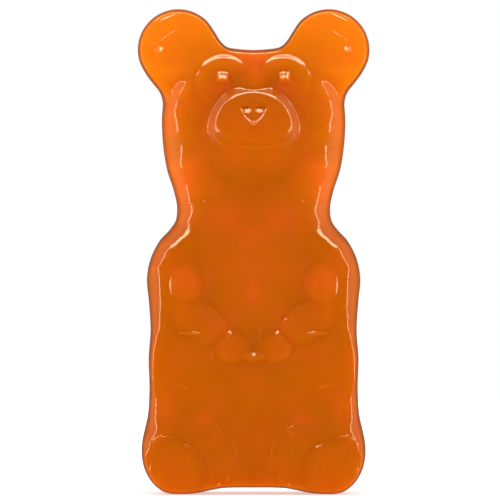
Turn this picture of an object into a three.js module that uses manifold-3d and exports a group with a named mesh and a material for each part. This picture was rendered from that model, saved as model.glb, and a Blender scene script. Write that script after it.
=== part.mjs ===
// A giant gummy bear: one cast piece of fruit gel that stands upright on the flat soles of its feet.
//
// The trunk and head are cast between a front and a back mould half, so their skin is two height fields
// that meet on the outline in the parting plane. The lobes belong to these fields: brows, chest, belly,
// arms, paws, thighs and feet in front, shoulder blades and haunches behind. The two ears are thinner
// plates, cast the same way. The eyes and the muzzle are solids of their own, joined on. At the end the
// nose is pressed into the muzzle and the soles are cut flat.
//
// Millimetres, +Z up, the face towards -Y. The origin is on the floor, below the middle of the bear.
import * as THREE from "three";
import { mergeGeometries, mergeVertices } from "three/addons/utils/BufferGeometryUtils.js";
import Module from "manifold-3d";

const PARTING_Y = 8; // where the two mould halves meet
const SOLE_Z = 0; // the soles are cut flat here

// The right half of the trunk's outline as [half-width, height], from the arch between the feet upwards.
const ARCH_AND_SOLE = [[0, 2.6], [10, 2.6], [16, 2.3], [22, 1.1], [28, -0.6], [34, -1.4], [40, -1.2]];
const FOOT_CORNER = [[45.6, 1.1], [50.5, 5.0], [54.2, 11.2], [55.8, 18]];
const FLANK = [[55.7, 25], [54.3, 32], [52.8, 39], [52.0, 52], [52.4, 67], [51.5, 81], [52.3, 95]];
const SHOULDER = [[53.3, 107], [51.4, 117], [46.8, 126], [42.0, 131.2], [38.9, 136]];
const NECK_TO_CHEEK = [[38.3, 143], [40.0, 151], [43.2, 161], [45.2, 173]];
const SKULL = { z: 175, halfWidth: 46.2, halfHeight: 45.9, power: 2.8 }; // a super-ellipse over the cheeks

// An ear is a round plate whose root runs into the cheek and the crown in two hollow flares.
const EAR = { x: 37.6, z: 221.2, radius: 20.3, rimFrom: -38, rimTo: 156, front: 9.6, back: 9 };
const EAR_OUTER_FLARE = [[44.2, 196.5], [47.0, 200.0], [50.4, 204.4]];
const EAR_INNER_FLARE = [[16.9, 226.0], [13.4, 222.6], [8.5, 220.6]];
const EAR_ROOT = [[12, 208], [28, 195]]; // hidden inside the head

// Depths of the bare trunk in front of and behind the parting plane, as [height, depth].
const FRONT_DEPTH = [[0, 37], [60, 39], [112, 35], [146, 30.5], [188, 31.5], [206, 30.5], [224, 28]];
const BACK_DEPTH = [[0, 31], [36, 34], [104, 32], [146, 25], [188, 29.5], [224, 22]];

// A nearly straight wall rises from the outline, and a rounded corner leads over to the front or back. The
// corner reaches this far in from the outline, as [height, reach].
const FRONT_CORNER = [
  [4, 10], [14, 14], [26, 13], [35, 16], [46, 11], [58, 6.5], [70, 7], [77, 8], [87, 20], [98, 18], [106, 19],
  [114, 17], [124, 18], [134, 26], [154, 30], [166, 20], [182, 23], [198, 25], [207, 9], [214, 4], [219, 3],
];
const BACK_CORNER = [[4, 20], [40, 26], [108, 28], [146, 24], [188, 28], [222, 22]];
const WALL_DRAFT = 1.2;

// An ear is a lens with a small rounded rim. Above the cheeks the front of the head slopes down to it.
const EAR_LENS = { edge: 2.2, reach: 20, corner: 1.6, blend: 4 };
const BROW_FALL = { start: 3, softness: 6, slope: 0.72, x: [12, 20], z: [200, 208], corner: 0.25 };
const ROOT_SUNK = 1; // how deep the ear's root lies under the front of the head

// The lobes of the body: domes over ellipses, as their middle, half-sizes, the depth of their top and how
// far a full dome falls. `power` squares the ellipse and `blend` is the fillet towards what lies beneath.
// A lobe off the middle has a twin.
const FRONT_LOBES = [
  { name: "chest", x: 0, z: 104, halfWidth: 30, halfHeight: 28, top: 38, rise: 6, blend: 5 },
  { name: "belly", x: 0, z: 50, halfWidth: 26, halfHeight: 24, top: 42.5, rise: 9, blend: 5 },
  { name: "shoulder", x: 41, z: 101, halfWidth: 20, halfHeight: 27, top: 40, rise: 9, blend: 5 },
  { name: "thigh", x: 31, z: 59.5, halfWidth: 24, halfHeight: 24.8, power: 2.4, top: 43.5, rise: 8, blend: 4 },
  { name: "foot", x: 34, z: 10, halfWidth: 26, halfHeight: 22, power: 2.4, top: 46.5, rise: 4, blend: 4 },
];
const BACK_LOBES = [
  { name: "shoulder", x: 26, z: 104, halfWidth: 30, halfHeight: 32, power: 2.2, top: 36, rise: 12, blend: 6 },
  { name: "haunch", x: 26, z: 38, halfWidth: 32, halfHeight: 40, power: 2.2, top: 35, rise: 12, blend: 6 },
];
const SKIRT = 0.8; // a dome goes on as a straight skirt beyond this share of its radius
const MIDDLE_SOFTNESS = 1.5; // how softly a lobe meets its twin on the middle line

// Plateaus on the lobes: level in the middle and steepest close to the edge. `edge` narrows that slope and
// `tilt` lifts the outer end. Those of the arms and those of the face merge, those of a foot lie on each
// other.
const ARM_PLATEAUS = [
  { name: "upper arm", x: 33.7, z: 104, halfWidth: 10, halfHeight: 13.5, height: 2.6, edge: 4 },
  { name: "forearm", x: 27, z: 85.5, halfWidth: 18, halfHeight: 11.4, tilt: 32, height: 3.2, edge: 4 },
  { name: "paw", x: 11, z: 73, halfWidth: 10.5, halfHeight: 9.6, height: 3, edge: 4 },
];
const FOOT_PLATEAUS = [
  { name: "instep", x: 31.5, z: 12, halfWidth: 25.5, halfHeight: 18.5, power: 3.3, height: 1.5, edge: 8 },
  { name: "foot pad", x: 38.8, z: 11.5, halfWidth: 17, halfHeight: 17, height: 4, edge: 4 },
];
const ARM_BLEND = 0.8;

const FACE_PLATEAUS = [
  { name: "brow", x: 15, z: 204.4, halfWidth: 15.6, halfHeight: 15.6, height: 3.5, edge: 8 },
  { name: "bridge", x: 0, z: 201, halfWidth: 15, halfHeight: 15, height: 6, edge: 2 },
];
const FACE_BLEND = 1.5;
const FACE_FROM = [190, 193]; // the muzzle hides what lies lower

// An eye is a ball stretched to halfWidth by rise by halfHeight, set into the brow.
const EYE = { x: 15.3, z: 208.6, halfWidth: 2.2, halfHeight: 1.9, top: 35.2, rise: 2 };

// The muzzle: a domed oval on a leaning plane, with a steep skirt all round.
const MUZZLE = {
  z: 184, edgeDepth: 42.5, lean: 0.25, crown: 4, halfWidth: 18.5, halfUp: 15.5, halfDown: 12.5,
  slopeUp: 1.12, slopeDown: 1.3, reach: 1.9, foot: 12,
};

// The nose is a soft heart, point down, whose pocket leans with the top of the muzzle.
const NOSE = {
  tip: 183.2, corner: { x: 7.3, z: 193.4 }, crown: 197, lean: 23.5, floorAtTip: 45.9, thickness: 8,
  softness: 0.6,
};

// How finely everything is faceted.
const OUTLINE_POINTS = 400;
const TRUNK_MESH = { ribs: 75, frontSteps: 25, backSteps: 7 };
const EAR_MESH = { ribs: 32, frontSteps: 8, backSteps: 4 };
const EYE_MESH = { around: 12, up: 8 };
const MUZZLE_MESH = { around: 30, up: 18 };
const RIB_CROWDING = 1.75;

// The value at height z between stations [height, value], level at every station.
function between(stations, z) {
  const after = stations.findIndex(([height]) => height > z);
  if (after === 0) return stations[0][1];
  if (after < 0) return stations[stations.length - 1][1];
  const [[z0, v0], [z1, v1]] = [stations[after - 1], stations[after]];
  return THREE.MathUtils.lerp(v0, v1, THREE.MathUtils.smoothstep(z, z0, z1));
}

// A smooth line through [x, z] points, as evenly spaced points in the parting plane.
function smoothLine(stations, divisions, closed = false) {
  const points = stations.map(([x, z]) => new THREE.Vector3(x, 0, z));
  const curve = new THREE.CatmullRomCurve3(points, closed, "centripetal");
  curve.arcLengthDivisions = 4 * divisions;
  const spaced = curve.getSpacedPoints(divisions);
  return closed ? spaced.slice(0, -1) : spaced;
}

// The right half of the trunk and head without the ears, from the arch between the feet to the crown.
function trunkOutline() {
  const skull = [];
  for (let degrees = 16; degrees <= 90; degrees += 9.25) {
    const angle = THREE.MathUtils.degToRad(degrees);
    const x = SKULL.halfWidth * Math.pow(Math.max(Math.cos(angle), 0), 2 / SKULL.power);
    const z = SKULL.z + SKULL.halfHeight * Math.pow(Math.sin(angle), 2 / SKULL.power);
    skull.push([degrees < 90 ? x : 0, z]);
  }
  return smoothLine(
    [...ARCH_AND_SOLE, ...FOOT_CORNER, ...FLANK, ...SHOULDER, ...NECK_TO_CHEEK, ...skull],
    OUTLINE_POINTS,
  );
}

function earOutline() {
  const rim = [];
  for (let i = 0; i <= 8; i++) {
    const angle = THREE.MathUtils.degToRad(THREE.MathUtils.lerp(EAR.rimFrom, EAR.rimTo, i / 8));
    rim.push([EAR.x + EAR.radius * Math.cos(angle), EAR.z + EAR.radius * Math.sin(angle)]);
  }
  return smoothLine([...EAR_OUTER_FLARE, ...rim, ...EAR_INNER_FLARE, ...EAR_ROOT], OUTLINE_POINTS, true);
}

// How far (x, z) lies from the nearest point of an outline.
const distanceTo = (outline, x, z) =>
  Math.sqrt(outline.reduce((least, p) => Math.min(least, (p.x - x) ** 2 + (p.z - z) ** 2), Infinity));

// A wall from the outline, then a quarter of an ellipse up to the full depth.
function cornered(depth, inward, corner) {
  const high = Math.min(depth, corner);
  const left = 1 - Math.min(inward / corner, 1);
  const wallLeft = 1 - Math.min(inward / WALL_DRAFT, 1);
  return high * Math.sqrt(1 - left * left) + (depth - high) * Math.pow(1 - wallLeft ** 4, 0.25);
}

// The larger of two depths, with a fillet of size `blend` where they cross.
function blendMax(a, b, blend) {
  const near = Math.max(blend - Math.abs(a - b), 0) / blend;
  return Math.max(a, b) + (near * near * blend) / 4;
}

// Where (x, z) lies on a lobe's ellipse: 0 in the middle and 1 on its edge.
function lobeRadius(lobe, x, z) {
  const { tilt = 0, power = 2 } = lobe;
  const [c, s] = [Math.cos(THREE.MathUtils.degToRad(tilt)), Math.sin(THREE.MathUtils.degToRad(tilt))];
  const dx = (lobe.x > 0 ? Math.hypot(x, MIDDLE_SOFTNESS) : x) - lobe.x;
  const dz = z - lobe.z;
  const along = Math.abs(dx * c + dz * s) / lobe.halfWidth;
  const across = Math.abs(dz * c - dx * s) / lobe.halfHeight;
  return Math.pow(along ** power + across ** power, 1 / power);
}

// The depth of a lobe's dome at (x, z), and of the straight skirt round it.
function domeDepth(lobe, x, z) {
  const r = lobeRadius(lobe, x, z);
  const inside = Math.min(r, SKIRT);
  const slope = SKIRT / Math.sqrt(1 - SKIRT * SKIRT);
  return lobe.top - lobe.rise * (1 - Math.sqrt(1 - inside * inside) + slope * (r - inside));
}

function plateauHeight(plateau, x, z) {
  const r = Math.min(lobeRadius(plateau, x, z), 1);
  return plateau.height * Math.pow(1 - Math.pow(r, plateau.edge), 2);
}

// One rib of a casting: points from the rim to its inner end, closest together on the rounded edge.
function ribPoints(rim, inner, steps, depthAt) {
  const rib = [rim.clone()];
  for (let j = 1; j <= steps; j++) {
    const point = rim.clone().lerp(inner, Math.pow(j / steps, RIB_CROWDING));
    rib.push(point.setY(depthAt(point.x, point.z)));
  }
  return rib;
}

// The skin of a casting over `ribs`, which hold a rim point and an inner point each and run anticlockwise
// round the outline as seen from the front. `depths` are the depths of either half at (x, z).
function castSkin(ribs, mesh, depths) {
  const lines = ribs.map(({ rim, inner }) => {
    const front = ribPoints(rim, inner, mesh.frontSteps, depths.front).map((p) => p.setY(PARTING_Y - p.y));
    const back = ribPoints(rim, inner, mesh.backSteps, depths.back).map((p) => p.setY(PARTING_Y + p.y));
    return [...front.reverse(), ...back.slice(1)];
  });
  const grid = new THREE.PlaneGeometry(1, 1, ribs.length - 1, mesh.frontSteps + mesh.backSteps);
  const position = grid.getAttribute("position");
  for (let n = 0; n < position.count; n++) {
    const { x, y, z } = lines[n % ribs.length][Math.floor(n / ribs.length)];
    position.setXYZ(n, x, y, z);
  }
  return grid;
}

// The ribs of the trunk's left half, from the crown down. They start on the middle line, at heights that
// fall steadily, so that no two ribs cross.
function trunkRibs(outline) {
  const spine = { low: 14, knee: 32, cheek: 176, high: 200 };
  const cheekZ = 190;
  const ankle = outline.findIndex((p) => p.x > FOOT_CORNER[1][0] && p.z > 18);
  const cheek = outline.findIndex((p) => p.z > cheekZ);
  const { mapLinear } = THREE.MathUtils;
  const startHeight = (i) => {
    if (i < ankle) return mapLinear(i, 0, ankle, spine.low, spine.knee);
    if (i < cheek) return mapLinear(outline[i].z, outline[ankle].z, cheekZ, spine.knee, spine.cheek);
    return mapLinear(i, cheek, OUTLINE_POINTS, spine.cheek, spine.high);
  };
  const ribs = [];
  for (let r = TRUNK_MESH.ribs; r >= 0; r--) {
    const i = Math.round((r * OUTLINE_POINTS) / TRUNK_MESH.ribs);
    const rim = new THREE.Vector3(-outline[i].x, 0, outline[i].z);
    ribs.push({ rim, inner: new THREE.Vector3(0, 0, startHeight(i)) });
  }
  return ribs;
}

// How far (x, z) lies inside the trunk's outline at the head, or, below zero, outside it.
function intoSkull(outline, x, z) {
  const up = Math.max(z - SKULL.z, 0) / SKULL.halfHeight;
  const inside = Math.pow(Math.abs(x) / SKULL.halfWidth, SKULL.power) + Math.pow(up, SKULL.power) < 1;
  return distanceTo(outline, x, z) * (inside ? 1 : -1);
}

// How much less deep the front of the head is where it slopes down to the ear.
function browFall(into) {
  const outside = BROW_FALL.start - into;
  return (BROW_FALL.slope * (outside + Math.hypot(outside, BROW_FALL.softness))) / 2;
}

function leftTrunkSkin() {
  const { smoothstep } = THREE.MathUtils;
  const outline = trunkOutline();
  const depthOf = (bare, lobes, corner) => (leftX, z) => {
    const x = Math.abs(leftX);
    const deepen = (depth, lobe) => blendMax(depth, domeDepth(lobe, x, z), lobe.blend);
    const depth = lobes.reduce(deepen, between(bare, z)) - headFall(x, z);
    return cornered(depth, distanceTo(outline, x, z), between(corner, z));
  };
  const headFall = (x, z) =>
    browFall(intoSkull(outline, x, z)) * smoothstep(x, ...BROW_FALL.x) * smoothstep(z, ...BROW_FALL.z);
  const plateaus = (leftX, z) => {
    const height = (plateau) => plateauHeight(plateau, Math.abs(leftX), z);
    const arm = ARM_PLATEAUS.reduce((tallest, plateau) => blendMax(tallest, height(plateau), ARM_BLEND), 0);
    const face = FACE_PLATEAUS.reduce((tallest, plateau) => blendMax(tallest, height(plateau), FACE_BLEND), 0);
    const bare = arm + face * smoothstep(z, ...FACE_FROM);
    return FOOT_PLATEAUS.reduce((sum, plateau) => sum + height(plateau), bare);
  };
  const frontDepth = depthOf(FRONT_DEPTH, FRONT_LOBES, FRONT_CORNER);
  return castSkin(trunkRibs(outline), TRUNK_MESH, {
    front: (x, z) => frontDepth(x, z) + plateaus(x, z),
    back: depthOf(BACK_DEPTH, BACK_LOBES, BACK_CORNER),
  });
}

function rightEarSkin() {
  const outline = earOutline();
  const trunk = trunkOutline();
  const middle = new THREE.Vector3(EAR.x - 6, 0, EAR.z - 6);
  const ribs = [];
  for (let r = 0; r <= EAR_MESH.ribs; r++) {
    const i = Math.round((r * outline.length) / EAR_MESH.ribs) % outline.length;
    ribs.push({ rim: outline[i], inner: middle });
  }
  const lensDepth = (middleDepth, inward) => {
    const bulge = 1 - (1 - Math.min(inward / EAR_LENS.reach, 1)) ** 2;
    return THREE.MathUtils.lerp(EAR_LENS.edge, middleDepth, bulge);
  };
  return castSkin(ribs, EAR_MESH, {
    front: (x, z) => {
      const inward = distanceTo(outline, x, z);
      const slope = Math.max(between(FRONT_DEPTH, z) - ROOT_SUNK - browFall(intoSkull(trunk, x, z)), 0);
      const root = slope * THREE.MathUtils.smoothstep(z, ...BROW_FALL.z);
      const rim = EAR_LENS.corner + BROW_FALL.corner * Math.max(root - EAR.front, 0);
      return cornered(blendMax(lensDepth(EAR.front, inward), root, EAR_LENS.blend), inward, rim);
    },
    back: (x, z) => {
      const inward = distanceTo(outline, x, z);
      return cornered(lensDepth(EAR.back, inward), inward, EAR_LENS.corner);
    },
  });
}

// The eye on the right (side +1) or left (side -1).
function eyeBall(side) {
  const ball = new THREE.SphereGeometry(1, EYE_MESH.around, EYE_MESH.up);
  ball.rotateX(Math.PI / 2);
  ball.scale(EYE.halfWidth, EYE.rise, EYE.halfHeight);
  ball.translate(side * EYE.x, PARTING_Y - (EYE.top - EYE.rise), EYE.z);
  return ball;
}

// The depth of the muzzle at (x, up) from its middle: inside the oval a paraboloid, outside it a cone.
function muzzleDepth(x, up) {
  const { edgeDepth, lean, crown, slopeUp, slopeDown } = MUZZLE;
  const r = Math.hypot(x / MUZZLE.halfWidth, up / (up > 0 ? MUZZLE.halfUp : MUZZLE.halfDown));
  if (r <= 1) return edgeDepth - lean * up + crown * (1 - r * r);
  const slope = THREE.MathUtils.lerp(slopeUp, slopeDown, THREE.MathUtils.clamp(-up / 10, 0, 1));
  return edgeDepth - (lean * up) / r - (slope * (r - 1) * Math.hypot(x, up)) / r;
}

// A ball's front half is spread over the muzzle and its skirt, and its back half is flattened inside the
// head. Its poles lie on the Y axis.
function muzzleBoss() {
  const ball = new THREE.SphereGeometry(1, MUZZLE_MESH.around, MUZZLE_MESH.up);
  const position = ball.getAttribute("position");
  for (let n = 0; n < position.count; n++) {
    const [x, y, z] = [position.getX(n), position.getY(n), position.getZ(n)];
    const out = Math.max(Math.hypot(x, z), 1e-9);
    const r = (MUZZLE.reach * Math.asin(Math.min(out, 1))) / (Math.PI / 2);
    const across = (x / out) * r * MUZZLE.halfWidth;
    const up = (z / out) * r * (z > 0 ? MUZZLE.halfUp : MUZZLE.halfDown);
    const depth = y < 1e-6 ? muzzleDepth(across, up) : MUZZLE.foot;
    position.setXYZ(n, across, PARTING_Y - depth, MUZZLE.z + up);
  }
  return ball;
}

// The block that presses the nose into the muzzle: its flat end is the pocket's floor.
function noseBlock() {
  const outline = new THREE.Shape();
  const { tip, corner, crown, softness } = NOSE;
  outline.moveTo(0, tip);
  outline.bezierCurveTo(2.5, tip, corner.x + 0.5, corner.z - 5, corner.x, corner.z);
  outline.bezierCurveTo(corner.x - 0.6, corner.z + 3, 3, crown, 0, crown);
  outline.bezierCurveTo(-3, crown, -corner.x + 0.6, corner.z + 3, -corner.x, corner.z);
  outline.bezierCurveTo(-corner.x - 0.5, corner.z - 5, -2.5, tip, 0, tip);
  const block = new THREE.ExtrudeGeometry(outline, {
    depth: NOSE.thickness,
    curveSegments: 7,
    bevelSize: softness,
    bevelOffset: -softness,
    bevelThickness: softness,
    bevelSegments: 2,
  });
  block.translate(0, -tip, softness);
  block.rotateX(Math.PI / 2 - THREE.MathUtils.degToRad(NOSE.lean));
  block.translate(0, PARTING_Y - NOSE.floorAtTip, tip);
  return block;
}

const wasm = await Module();
wasm.setup();

// A closed three.js mesh as a manifold-3d solid, without the triangles that have shrunk to a line.
function toSolid(geometry) {
  geometry.deleteAttribute("normal");
  geometry.deleteAttribute("uv");
  const merged = mergeVertices(geometry, 1e-3);
  const triVerts = [];
  for (let n = 0; n < merged.index.count; n += 3) {
    const [a, b, c] = merged.index.array.slice(n, n + 3);
    if (a !== b && b !== c && c !== a) triVerts.push(a, b, c);
  }
  return new wasm.Manifold(
    new wasm.Mesh({
      numProp: 3,
      vertProperties: new Float32Array(merged.getAttribute("position").array),
      triVerts: new Uint32Array(triVerts),
    }),
  );
}

// A geometry's mirror image on the other side of the bear, with its faces still pointing out.
function mirrored(geometry) {
  const twin = geometry.clone();
  twin.scale(-1, 1, 1);
  const index = twin.index.array;
  for (let n = 0; n < index.length; n += 3) [index[n], index[n + 1]] = [index[n + 1], index[n]];
  return twin;
}

function bearSolid() {
  const leftTrunk = leftTrunkSkin();
  const trunk = toSolid(mergeGeometries([leftTrunk, mirrored(leftTrunk)]));
  const ear = rightEarSkin();
  const pieces = [mirrored(ear), ear, muzzleBoss(), eyeBall(1), eyeBall(-1)];
  const whole = pieces.reduce((solid, piece) => solid.add(toSolid(piece)), trunk);
  const size = 400;
  const floor = new THREE.BoxGeometry(size, size, size).translate(0, 0, SOLE_Z - size / 2);
  return whole.subtract(toSolid(noseBlock())).subtract(toSolid(floor));
}

function makeBear() {
  const mesh = bearSolid().getMesh();
  const geometry = new THREE.BufferGeometry();
  geometry.setAttribute("position", new THREE.BufferAttribute(mesh.vertProperties, 3));
  geometry.setIndex(new THREE.BufferAttribute(mesh.triVerts, 1));
  geometry.computeVertexNormals();
  const orangeGel = new THREE.MeshStandardMaterial({ color: 0xd6660a, roughness: 0.12, metalness: 0 });
  const bear = new THREE.Mesh(geometry, orangeGel);
  bear.name = "gummy_bear";
  return bear;
}

const gummyBear = new THREE.Group();
gummyBear.add(makeBear());
export default gummyBear;
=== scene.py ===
# %% [markdown]
# # A giant gummy bear
# The bear is one casting of orange fruit gel, a little taller than a hand is long. It has no seams, no
# wrapper and no moving parts, so the whole lesson is about one surface and one material. The surface is
# worked out as arrays, the gel lets light sink in and wander, and large soft lights draw the thin white
# lines that make it look wet.

import math

import bpy
import numpy as np
from mathutils import Matrix, Vector


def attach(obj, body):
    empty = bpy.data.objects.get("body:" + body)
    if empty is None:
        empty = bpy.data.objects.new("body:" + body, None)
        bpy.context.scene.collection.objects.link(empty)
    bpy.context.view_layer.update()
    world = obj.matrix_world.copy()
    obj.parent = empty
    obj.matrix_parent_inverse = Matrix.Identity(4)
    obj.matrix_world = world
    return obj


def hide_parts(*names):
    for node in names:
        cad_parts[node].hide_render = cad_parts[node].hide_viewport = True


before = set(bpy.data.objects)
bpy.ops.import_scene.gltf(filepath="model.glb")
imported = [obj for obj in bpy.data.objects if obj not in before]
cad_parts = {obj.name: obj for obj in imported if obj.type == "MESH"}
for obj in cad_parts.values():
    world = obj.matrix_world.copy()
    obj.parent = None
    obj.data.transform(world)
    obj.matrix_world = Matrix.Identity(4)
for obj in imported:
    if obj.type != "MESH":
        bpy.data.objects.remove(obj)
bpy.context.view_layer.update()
BEAR_NODE = "gummy_bear"

# %% [markdown]
# ## The outline
# A mould for such a bear has a front and a back half. Where they meet, the skin runs along one outline,
# and everything else is depth in front of it or behind it. So the outline comes first. It could be drawn
# as a Bezier curve by hand, but a spline through a few named points is easier to correct: each point is
# a half-width and a height in millimetres. A centripetal Catmull-Rom spline never overshoots at the
# tight turns under the ears.

# %% The points of the outline, in millimetres
MM = 0.001
PARTING_Y = 8.0
ARCH_AND_SOLE = [(0, 2.6), (10, 2.6), (16, 2.3), (22, 1.2), (28, 0.0), (34, -0.6), (40, -0.5)]
FOOT_CORNER = [(45.6, 1.0), (50.5, 5.0), (54.2, 11.2), (55.8, 18)]
FLANK = [(55.7, 25), (54.3, 32), (52.8, 39), (52.0, 52), (52.4, 67), (51.5, 81), (52.3, 95)]
SHOULDER = [(53.3, 107), (51.4, 117), (46.8, 126), (42.0, 131.2), (38.9, 136)]
NECK_TO_CHEEK = [(38.3, 143), (40.0, 151), (43.2, 161), (45.2, 173)]
CHEEK_TO_EAR = [(45.9, 186), (45.5, 195.5), (47.0, 200.0), (50.4, 204.4)]
EAR_TO_CROWN = [(16.9, 226.0), (13.4, 222.6), (7.5, 221.4), (0, 220.9)]
TRUNK = ARCH_AND_SOLE + FOOT_CORNER + FLANK + SHOULDER + NECK_TO_CHEEK
print("the outline is led through", len(TRUNK + CHEEK_TO_EAR + EAR_TO_CROWN), "points and round an ear")

# %% A smooth line through them
SPAN_STEPS = 32  # pieces of each span before the line is divided evenly


def smooth_line(stations, divisions):
    """Evenly spaced points on a centripetal Catmull-Rom spline.

    Between two stations the curve is a cubic whose end slopes are weighted by the square roots of the
    distances between neighbours, and one more station is imagined beyond either end.
    """
    p = np.asarray(stations, float)
    p = np.vstack([2 * p[0] - p[1], p, 2 * p[-1] - p[-2]])
    p0, p1, p2, p3 = p[:-3], p[1:-2], p[2:-1], p[3:]
    pairs = ((p0, p1), (p1, p2), (p2, p3))
    d0, d1, d2 = (np.sqrt(np.linalg.norm(b - a, axis=1))[:, None] for a, b in pairs)
    slope1 = d1 * ((p1 - p0) / d0 - (p2 - p0) / (d0 + d1) + (p2 - p1) / d1)
    slope2 = d1 * ((p2 - p1) / d1 - (p3 - p1) / (d1 + d2) + (p3 - p2) / d2)
    t = np.linspace(0, 1, SPAN_STEPS + 1)[:-1, None, None]
    fine = ((2 * t**3 - 3 * t**2 + 1) * p1 + (t**3 - 2 * t**2 + t) * slope1
            + (3 * t**2 - 2 * t**3) * p2 + (t**3 - t**2) * slope2)
    fine = np.vstack([fine.transpose(1, 0, 2).reshape(-1, 2), p[-2]])
    run = np.append(0, np.cumsum(np.linalg.norm(np.diff(fine, axis=0), axis=1)))
    even = np.linspace(0, run[-1], divisions + 1)
    return np.column_stack([np.interp(even, run, fine[:, k]) for k in (0, 1)])


# %% The whole outline with its ear, and the trunk's own outline without one
OUTLINE_POINTS = 1600
ARC_STATIONS = 9
EAR = dict(x=37.6, z=221.2, radius=20.3, rim_from=-38, rim_to=156, front=9.6, back=9.0)
SKULL = dict(z=175, half_width=46.2, half_height=45.9, power=2.8, line_from=16)


def ear_rim():
    """The free part of the ear's circle: the angle runs evenly from the cheek over the top to the crown."""
    angle = np.radians(np.linspace(EAR["rim_from"], EAR["rim_to"], ARC_STATIONS))
    x = EAR["x"] + EAR["radius"] * np.cos(angle)
    return np.column_stack([x, EAR["z"] + EAR["radius"] * np.sin(angle)])


def skull_line():
    """A super-ellipse over the cheeks: cosine and sine, each raised to two over the power."""
    angle = np.radians(np.linspace(SKULL["line_from"], 90, ARC_STATIONS))
    x = SKULL["half_width"] * np.clip(np.cos(angle), 0, 1) ** (2 / SKULL["power"])
    x[-1] = 0  # the crown lies on the middle line
    return np.column_stack([x, SKULL["z"] + SKULL["half_height"] * np.sin(angle) ** (2 / SKULL["power"])])


outline = smooth_line(np.vstack([TRUNK, CHEEK_TO_EAR, ear_rim(), EAR_TO_CROWN]), OUTLINE_POINTS)
trunk_outline = smooth_line(np.vstack([TRUNK, skull_line()]), OUTLINE_POINTS)
print(f"half the outline runs {OUTLINE_POINTS * np.linalg.norm(outline[1] - outline[0]):.0f} mm")

# %% [markdown]
# ## The relief
# The bear's front is a relief: over every point of the front view there is one depth. A sculptor would
# press such lobes out of clay; here each is a formula, which keeps every size named and changeable.
# Separate balls fused by a Boolean would leave sharp creases, and light in the gel would show them.
# First comes the bare trunk, which is boxy: a slightly bulging wall rises from the outline, and a rounded
# corner leads over to the front. How far the corner reaches decides how wide the bright side bands are.

# %% The bare trunk, at [height, depth] and [height, reach of the corner]
FRONT_DEPTH = [(0, 37), (60, 39), (112, 35), (146, 30.5), (188, 31.5), (206, 30.5), (224, 29.5)]
BACK_DEPTH = [(0, 31), (36, 34), (104, 32), (146, 25), (188, 29.5), (224, 22)]
FRONT_CORNER = [(4, 3), (17, 3), (25, 9), (35, 14), (46, 10), (58, 5.5), (68, 6), (78, 9), (92, 18),
                (106, 19), (114, 15), (122, 15), (136, 20), (146, 24), (154, 24), (162, 23), (172, 29),
                (181, 25), (190, 23), (198, 25)]
BACK_CORNER = [(4, 20), (40, 26), (108, 28), (146, 24), (188, 28), (222, 22)]
WALL_BULGE = 1.9  # how far in from the outline the wall goes on bulging before it is level


def eased(value, start, end):
    """0 before the start, 1 after the end, and 3t^2 - 2t^3 between them."""
    t = np.clip((value - start) / (end - start), 0, 1)
    return t * t * (3 - 2 * t)


def between(stations, z):
    """The value at height z, which eases from station to station."""
    heights, values = np.asarray(stations, float).T
    i = np.clip(np.searchsorted(heights, z) - 1, 0, len(heights) - 2)
    return values[i] + (values[i + 1] - values[i]) * eased(z, heights[i], heights[i + 1])


def cornered(depth, inward, corner):
    """A bulging wall from the outline, then a corner up to the full depth, both as sqrt(1 - u^2)."""
    high = np.minimum(depth, corner)
    u = 1 - np.clip(inward / corner, 0, 1)
    w = 1 - np.clip(inward / WALL_BULGE, 0, 1)
    return high * np.sqrt(1 - u * u) + (depth - high) * np.sqrt(1 - w * w)


WAIST_Z, NECK_Z = 60, 146
for name, at_z in (("waist", WAIST_Z), ("neck", NECK_Z)):
    trunk_in_all = between(FRONT_DEPTH, at_z) + between(BACK_DEPTH, at_z)
    print(f"at the {name} the bare trunk is {trunk_in_all:.1f} mm deep")

# %% Broad lobes: domes that swell out of the trunk
MIDDLE_SOFTNESS = 1.5  # rounds the crease where a lobe meets its mirror image


def blend_max(a, b, blend):
    """The larger of a and b, plus a fillet that is a quarter of `blend` high where they are equal."""
    near = np.clip(1 - np.abs(a - b) / blend, 0, 1)
    return np.maximum(a, b) + near**2 * blend / 4


def lobe(x, z, half_width, half_height, top, rise, blend, tilt=0.0, power=2.0, skirt=0.8):
    """The numbers of one dome. Past `skirt` of its radius it goes on straight down."""
    return dict(x=x, z=z, half_width=half_width, half_height=half_height, top=top, rise=rise, blend=blend,
                tilt=math.radians(tilt), power=power, skirt=skirt)


FRONT_LOBES = {
    "chest": lobe(0, 104, 30, 28, top=38, rise=6, blend=5),
    "belly": lobe(0, 50, 26, 24, top=42.5, rise=9, blend=5),
    "shoulder": lobe(41, 101, 20, 27, top=40, rise=9, blend=5),
    "thigh": lobe(31, 59.5, 24, 24.8, top=43.5, rise=8, blend=4, power=2.4),
    "foot": lobe(34, 10, 26, 22, top=46.5, rise=4, blend=4, power=2.4),
}
BACK_LOBES = {
    "shoulder blade": lobe(26, 104, 30, 32, top=36, rise=12, blend=6, power=2.2),
    "haunch": lobe(26, 38, 32, 40, top=35, rise=12, blend=6, power=2.2),
}


def lobe_radius(form, x, z):
    """Where (x, z) lies on the lobe's super-ellipse: 0 in its middle and 1 on its edge."""
    dx, dz = (np.hypot(x, MIDDLE_SOFTNESS) if form["x"] else x) - form["x"], z - form["z"]
    c, s = math.cos(form["tilt"]), math.sin(form["tilt"])
    along = np.abs(dx * c + dz * s) / form["half_width"]
    across = np.abs(dz * c - dx * s) / form["half_height"]
    return (along ** form["power"] + across ** form["power"]) ** (1 / form["power"])


def dome_depth(form, x, z):
    """The top less the fall of a ball, 1 - sqrt(1 - r^2), and beyond the skirt a straight slope."""
    r = lobe_radius(form, x, z)
    inside = np.minimum(r, form["skirt"])
    slope = form["skirt"] / math.sqrt(1 - form["skirt"] ** 2)
    return form["top"] - form["rise"] * (1 - np.sqrt(1 - inside**2) + slope * (r - inside))


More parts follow.
